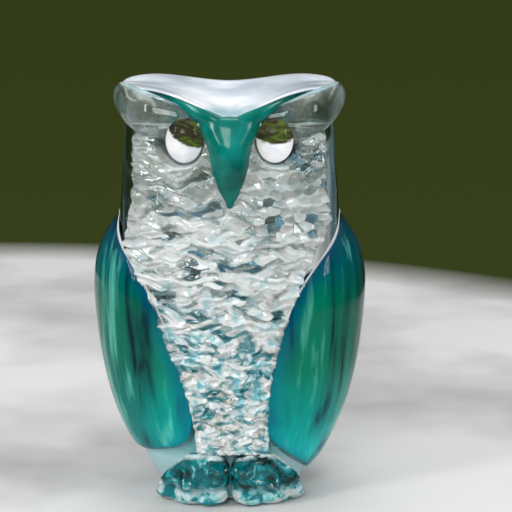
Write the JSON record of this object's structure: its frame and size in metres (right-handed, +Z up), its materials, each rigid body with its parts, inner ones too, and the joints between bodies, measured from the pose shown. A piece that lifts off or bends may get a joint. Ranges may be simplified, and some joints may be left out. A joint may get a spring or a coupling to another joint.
{
  "type": "glass owl figurine",
  "caption": "Small solid-glass owl ornament with cased coloured wings, a hammered breast, a saddle crown, cabochon eyes and a flat ground base.",
  "frame": {"origin": "under the middle of the owl, on the plane of its ground base", "axes": "+Z up, the owl looks along -Y, +X to the right of a viewer who faces it"},
  "size_m": [0.0745, 0.0575, 0.115],
  "materials": {
    "clear_glass": "polished clear crystal",
    "hammered_glass": "clear crystal, hammered into small irregular facets",
    "teal_glass": "polished dense teal glass",
    "wing_glass": "streaked teal-green glass with blue-teal edges",
    "white_glass": "glossy milky white glass",
    "eye_foil": "olive mirror foil"
  },
  "bodies": {
    "root": {"body_core": "clear_glass", "colour_core": "teal_glass", "breast_plate": "hammered_glass", "crown_cap": "white_glass", "beak": "teal_glass", "foot_disc": "clear_glass", "wing_left_colour": "wing_glass", "wing_left_casing": "clear_glass", "brow_left": "clear_glass", "eye_left_foil": "eye_foil", "eye_left_lens": "clear_glass", "foot_left": "clear_glass", "wing_right_colour": "wing_glass", "wing_right_casing": "clear_glass", "brow_right": "clear_glass", "eye_right_foil": "eye_foil", "eye_right_lens": "clear_glass", "foot_right": "clear_glass"}
  },
  "joints": []
}
